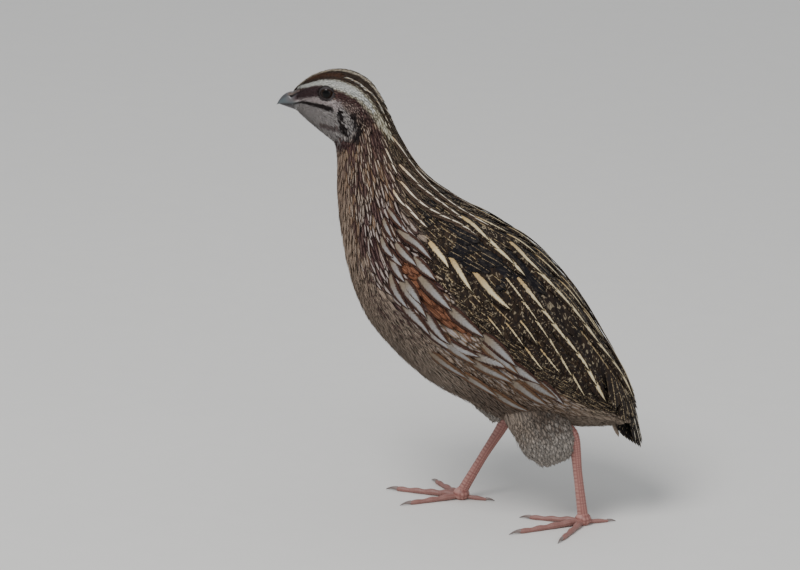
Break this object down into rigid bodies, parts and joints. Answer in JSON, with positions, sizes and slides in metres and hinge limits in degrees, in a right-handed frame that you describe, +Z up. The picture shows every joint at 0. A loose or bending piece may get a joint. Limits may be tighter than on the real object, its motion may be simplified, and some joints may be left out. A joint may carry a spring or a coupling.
{
  "type": "common quail",
  "caption": "Life-size still model of a common quail walking with its neck stretched up, wings folded and tail low.",
  "frame": {"origin": "middle of the bounding box on the floor plane the soles rest on", "axes": "+X is where the bird faces, +Y is its left side, +Z is up"},
  "size_m": [0.1248, 0.0649, 0.1527],
  "materials": {
    "body_feathers": "soft matt body feathers, buff and brown",
    "thigh_feathers": "pale fluffy feathers",
    "quill_feathers": "dark brown barred feathers with cream streaks",
    "scaly_skin": "pink scaly skin",
    "claw": "dark horn",
    "bill": "blue-grey horn",
    "eye": "wet, very dark brown"
  },
  "bodies": {
    "root": {"bill_lower": "bill", "bill_upper": "bill", "claw_left_hind": "claw", "claw_left_inner": "claw", "claw_left_middle": "claw", "claw_left_outer": "claw", "claw_right_hind": "claw", "claw_right_inner": "claw", "claw_right_middle": "claw", "claw_right_outer": "claw", "eye_left": "eye", "eye_right": "eye", "head": "body_feathers", "neck": "body_feathers", "shank_left": "scaly_skin", "shank_right": "scaly_skin", "tail": "quill_feathers", "thigh_left": "thigh_feathers", "thigh_right": "thigh_feathers", "toe_left_hind": "scaly_skin", "toe_left_inner": "scaly_skin", "toe_left_middle": "scaly_skin", "toe_left_outer": "scaly_skin", "toe_right_hind": "scaly_skin", "toe_right_inner": "scaly_skin", "toe_right_middle": "scaly_skin", "toe_right_outer": "scaly_skin", "torso": "body_feathers", "wing_left": "quill_feathers", "wing_right": "quill_feathers"}
  },
  "joints": []
}
